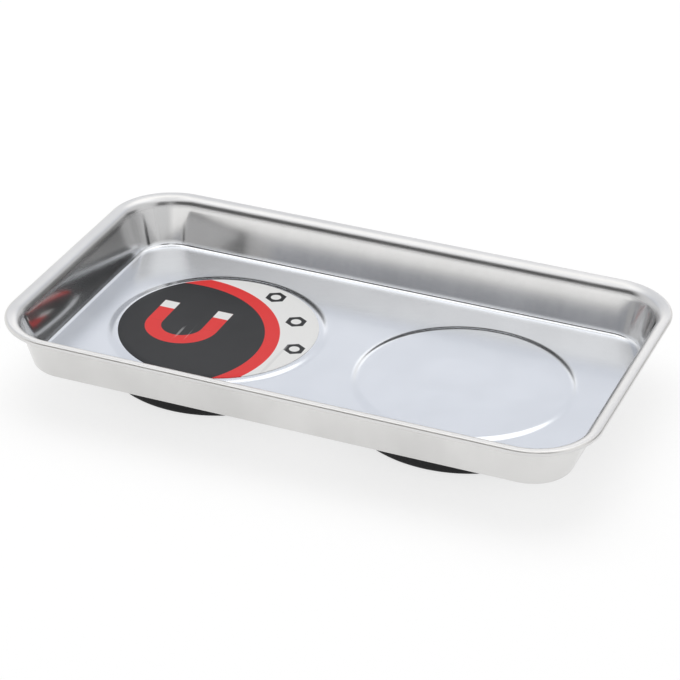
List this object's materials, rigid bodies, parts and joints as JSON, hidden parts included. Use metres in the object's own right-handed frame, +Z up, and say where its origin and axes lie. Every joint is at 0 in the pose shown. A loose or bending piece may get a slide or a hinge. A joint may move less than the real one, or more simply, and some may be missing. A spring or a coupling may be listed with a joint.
{
  "type": "magnetic parts tray",
  "caption": "Rectangular pressed steel dish with a rolled rim and two low round bosses in its floor, on rubber-booted ring magnets that grip a bench and hold small steel parts.",
  "frame": {"origin": "on the bench, midway between the two rubber feet", "axes": "+X along the dish from the labelled boss to the bare one, +Y across the dish to its back, +Z up"},
  "size_m": [0.24, 0.14, 0.034],
  "materials": {
    "dish_steel": "stainless sheet, polished bright",
    "label_film": "printed film, satin",
    "boot_rubber": "moulded, matte",
    "ferrite": "sintered and ground",
    "plate_steel": "pressed, zinc plated",
    "nylon": "moulded, natural",
    "fastener_steel": "zinc plated, bright"
  },
  "bodies": {
    "root": {"dish": "dish_steel", "label": "label_film", "left_rubber_boot": "boot_rubber", "right_rubber_boot": "boot_rubber", "left_ring_magnet": "ferrite", "right_ring_magnet": "ferrite", "left_pole_plate": "plate_steel", "right_pole_plate": "plate_steel", "left_centring_disc": "nylon", "right_centring_disc": "nylon", "left_weld_stud": "fastener_steel", "right_weld_stud": "fastener_steel", "left_washer": "fastener_steel", "right_washer": "fastener_steel", "left_spring_washer": "fastener_steel", "right_spring_washer": "fastener_steel", "left_stud_nut": "fastener_steel", "right_stud_nut": "fastener_steel"}
  },
  "joints": []
}
